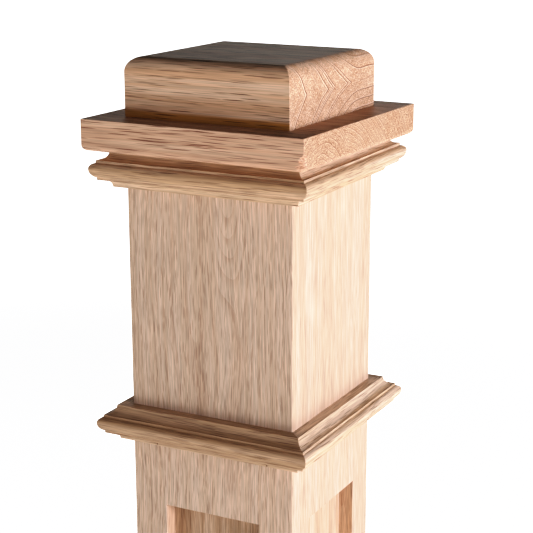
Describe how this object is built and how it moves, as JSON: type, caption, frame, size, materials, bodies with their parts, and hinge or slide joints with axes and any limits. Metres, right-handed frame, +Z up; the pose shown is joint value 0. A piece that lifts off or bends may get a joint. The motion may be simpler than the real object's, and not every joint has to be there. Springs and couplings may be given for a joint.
{
  "type": "newel post",
  "caption": "Square box newel post of raw oak: hollow mitred shaft with recessed panels, moulding bands, a wide cap plate and a rounded crown block.",
  "frame": {"origin": "centre of the underside, where the post stands on the floor", "axes": "+Z up along the post; -Y is the front face and +X the right face, as the picture shows them"},
  "size_m": [0.2182, 0.2182, 1.397],
  "materials": {
    "oak_block": "raw planed oak, unfinished",
    "oak_plate": "raw planed oak, unfinished",
    "oak_moulding": "raw moulded oak, unfinished",
    "oak_shaft": "raw planed oak, unfinished",
    "oak_panel": "raw planed oak, unfinished",
    "oak_skirt": "raw planed oak, unfinished"
  },
  "bodies": {
    "root": {"cap_block": "oak_block", "cap_plate": "oak_plate", "upper_moulding_front": "oak_moulding", "upper_moulding_right": "oak_moulding", "upper_moulding_back": "oak_moulding", "upper_moulding_left": "oak_moulding", "middle_moulding_front": "oak_moulding", "middle_moulding_right": "oak_moulding", "middle_moulding_back": "oak_moulding", "middle_moulding_left": "oak_moulding", "shaft_board_front": "oak_shaft", "shaft_board_right": "oak_shaft", "shaft_board_back": "oak_shaft", "shaft_board_left": "oak_shaft", "panel_front": "oak_panel", "panel_right": "oak_panel", "panel_back": "oak_panel", "panel_left": "oak_panel", "skirt_board_front": "oak_skirt", "skirt_board_right": "oak_skirt", "skirt_board_back": "oak_skirt", "skirt_board_left": "oak_skirt"}
  },
  "joints": []
}
